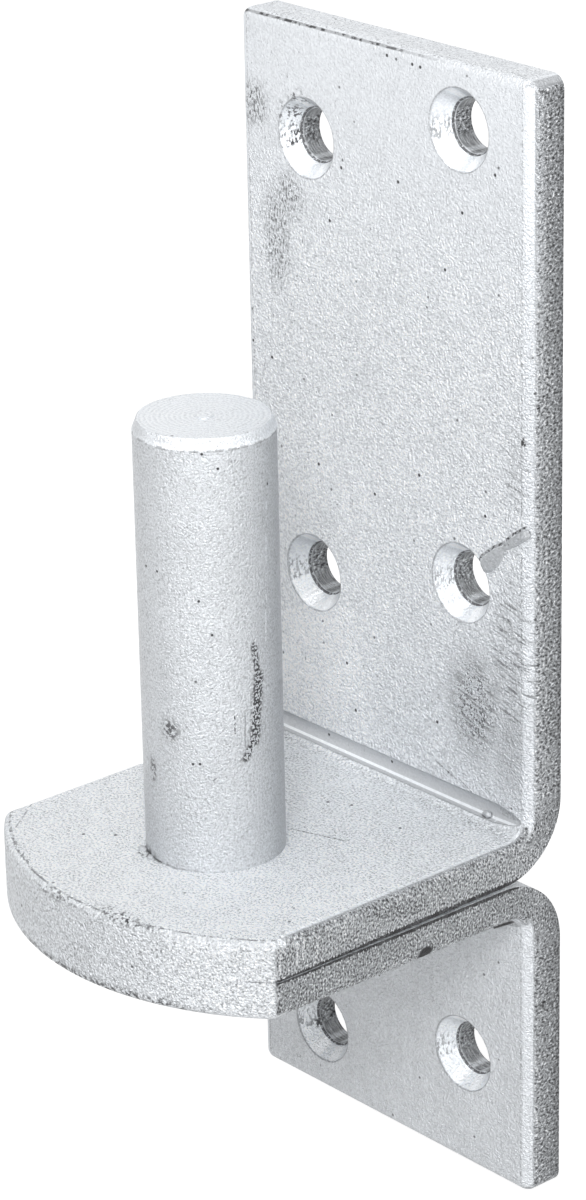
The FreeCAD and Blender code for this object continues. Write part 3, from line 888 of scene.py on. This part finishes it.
def face_depth(x, z):
    """How far the surface lies behind the plate's front: in its edge, and over a hole's rim."""
    into_edge = min(max(x - (SIDE - EDGE_ROUND), 0.0), EDGE_ROUND)
    depth = EDGE_ROUND - math.sqrt(EDGE_ROUND ** 2 - into_edge ** 2)
    past_rim = SINK_RADIUS - (Vector((x, z)) - RIM_CENTRE).length
    return depth + RIM_DIP * max(past_rim, 0.0)


def along(values, share):
    """A value between the listed ones, for a share from 0 to 1 of the way."""
    spot_on = share * (len(values) - 1)
    index = min(int(spot_on), len(values) - 2)
    return values[index] + (values[index + 1] - values[index]) * (spot_on - index)


def run_row(share, top, foot):
    """Points across the run: its front, and its back inside the steel."""
    middle = (along(top, share) + along(foot, share)) / 2
    half = (along(top, share) - along(foot, share)) / 2
    closing = math.sqrt(max(1 - abs(2 * share - 1) ** 20, 0.0))
    front, behind = [], []
    for column in range(RUN_COLUMNS):
        lean = 2 * column / (RUN_COLUMNS - 1) - 1
        layer = 3.0 if lean > 0 else 8.0
        wobble = 1 + 0.14 * noise.noise((middle.x * 1.3, middle.y * 1.3, layer))
        x, z = middle + half * lean * wobble * (0.6 + 0.4 * closing)
        swell = (1 - lean ** 6) * closing * (1 + 0.4 * noise.noise((x * 1.4, z * 1.4, 1.0)))
        depth = FACE + face_depth(x, z)
        front.append((x, depth - along(RUN_HEIGHTS, share) * swell + 0.02, z))
        behind.append((x, depth + 0.12 + 0.2 * swell, z))
    return front, behind


def frozen_run():
    top = [Vector(point) for point in RUN_TOP]
    foot = [Vector(point) for point in RUN_FOOT]
    front, behind = [], []
    for row in range(RUN_ROWS):
        row_front, row_behind = run_row(row / (RUN_ROWS - 1), top, foot)
        front += row_front
        behind += row_behind
    size = len(front)
    faces = sheet_faces(RUN_ROWS, RUN_COLUMNS)
    faces += sheet_faces(RUN_ROWS, RUN_COLUMNS, size, True)
    for row in range(RUN_ROWS - 1):
        for column in (0, RUN_COLUMNS - 1):
            a, b = row * RUN_COLUMNS + column, (row + 1) * RUN_COLUMNS + column
            if column == 0:
                faces.append((a, b, b + size, a + size))
            else:
                faces.append((b, a, a + size, b + size))
    piece("zinc_run", front + behind, faces)


frozen_run()

# %% [markdown]
# The other leftovers are small. A lump is a ball pushed about by noise. A closed seam is a thin
# strip that follows the nose's arc and bulges a hair's breadth over it, and it takes the plate's
# own finish, because there the coat simply runs on from one plate to the next.

# %% Lumps and closed seams
NOSE_RADIUS, NOSE_CENTRE = 42.99, 16.09
STRIP_SECTION = ((-0.12, 0.5), (0.025, 0.3), (0.025, -0.3), (-0.12, -0.5))
STRIP_ROWS = 25


def pebble(name, centre, reach, seed):
    """A lumpy grain of zinc."""
    ball = bmesh.new()
    bmesh.ops.create_icosphere(ball, subdivisions=3, radius=1.0)
    points = []
    for corner in ball.verts:
        lump = 1 + 0.35 * noise.noise(corner.co * 1.4 + Vector((seed, 0, 0)))
        points.append([c + r * v * lump for c, r, v in zip(centre, reach, corner.co)])
    faces = [[corner.index for corner in face.verts] for face in ball.faces]
    ball.free()
    piece(name, points, faces)


def nose_seam(name, first, last):
    """A thin strip that bridges the seam on the nose, from one x to another."""
    points = []
    for row in range(STRIP_ROWS):
        x = first + (last - first) * row / (STRIP_ROWS - 1)
        turn = math.asin(x / NOSE_RADIUS)
        for proud, up in STRIP_SECTION:
            up = -SEAM_LEVEL + up * (1 + 0.3 * noise.noise((x * 0.7, up, 0.0)))
            reach = NOSE_RADIUS + proud
            points.append((reach * math.sin(turn), NOSE_CENTRE - reach * math.cos(turn), up))
    faces = sheet_faces(STRIP_ROWS, len(STRIP_SECTION), turned=True)
    piece(name, points, faces, upper)


pebble("zinc_nub", (21.6, 32.7, 1.2), (0.8, 0.5, 0.5), 2.0)
pebble("zinc_lump_a", (-5.6, -9.0, 0.1), (0.7, 0.5, 0.35), 5.0)
pebble("zinc_lump_b", (-2.4, -10.1, 0.1), (0.6, 0.4, 0.4), 9.0)
nose_seam("zinc_seam_right", 5.0, 27.0)
nose_seam("zinc_seam_left", -27.0, -5.0)

# %% [markdown]
# Zinc looks like what stands around it, so the studio is part of the finish. Three large soft
# lamps light the part: the key is near the camera, a little to its left and higher, a weak one is
# below the camera and one is overhead. The surround is seen as pure white, also in the metal, but
# lights the part more dimly, so the lamps give it form.

# %% Lamps and surround
SURROUND = 0.26


def softbox(name, azimuth, elevation, away, side, power):
    lamp = bpy.data.lights.new(name, "AREA")
    lamp.shape = "SQUARE"
    lamp.size = side
    lamp.energy = power
    made = bpy.data.objects.new(name, lamp)
    aim = direction(azimuth, elevation)
    made.matrix_world = Matrix.Translation(AIM + aim * away) @ towards(aim)
    bpy.context.scene.collection.objects.link(made)


def seen_directly(start):
    """1 for the rays that show the surround itself, also in metal and through glass."""
    ray = start.node("LightPath", output="Is Camera Ray")
    return ray | ray.beside("Is Glossy Ray") | ray.beside("Is Transmission Ray")


softbox("key_softbox", azimuth=42.0, elevation=36.0, away=0.9, side=0.3, power=5.2)
softbox("low_softbox", azimuth=47.0, elevation=8.0, away=0.9, side=0.25, power=1.0)
softbox("top_softbox", azimuth=0.0, elevation=80.0, away=0.9, side=0.4, power=1.6)

world = bpy.data.worlds.new("white_surround")
bpy.context.scene.world = world
world.use_nodes = True
world.node_tree.nodes.clear()
sky = Wire(world.node_tree)
dim = sky.node("Background", {"Color": (1, 1, 1, 1), "Strength": SURROUND})
white = sky.node("Background", {"Color": (1, 1, 1, 1), "Strength": 1.0})
around = sky.node("MixShader", {0: seen_directly(sky), 1: dim, 2: white})
sky.node("OutputWorld", {"Surface": around})
print("lamps:", len(bpy.data.lights))

# %% [markdown]
# The floor is a pale sheet well below the part, so that no hard shadow falls on it. It glows a
# little where it is seen directly and more so farther out, which lets it pass into the surround
# without a line. A curved backdrop would do the same with more geometry.

# %% Floor
FLOOR_DROP, FLOOR_REACH = 0.15, 8.0

floor_mesh = bpy.data.meshes.new("floor")
level = cad_box[0].z - FLOOR_DROP
signs = ((-1, -1), (1, -1), (1, 1), (-1, 1))
corners = [(x * FLOOR_REACH, y * FLOOR_REACH, level) for x, y in signs]
floor_mesh.from_pydata(corners, [], [(0, 1, 2, 3)])
floor = bpy.data.objects.new("floor", floor_mesh)
bpy.context.scene.collection.objects.link(floor)
paper = bpy.data.materials.new("pale_floor")
paper.use_nodes = True
paper.node_tree.nodes.clear()
sheet = Wire(paper.node_tree)
spread = distance(sheet.node("TexCoord", output="Object"), (1, 1, 0), (0, 0, 0))
matt = sheet.node("BsdfDiffuse", {"Color": (0.6, 0.6, 0.6, 1)})
glow = sheet.node("Emission", {"Color": 0.75 + 0.2 * step(spread, 0.2, 0.7), "Strength": 1.0})
lit = sheet.node("AddShader", {0: matt, 1: glow})
seen = sheet.node("MixShader", {0: seen_directly(sheet), 1: matt, 2: lit})
sheet.node("OutputMaterial", {"Surface": seen})
floor_mesh.materials.append(paper)
bpy.context.scene.view_settings.view_transform = "Standard"
print("floor at", round(level / MM, 1), "mm")
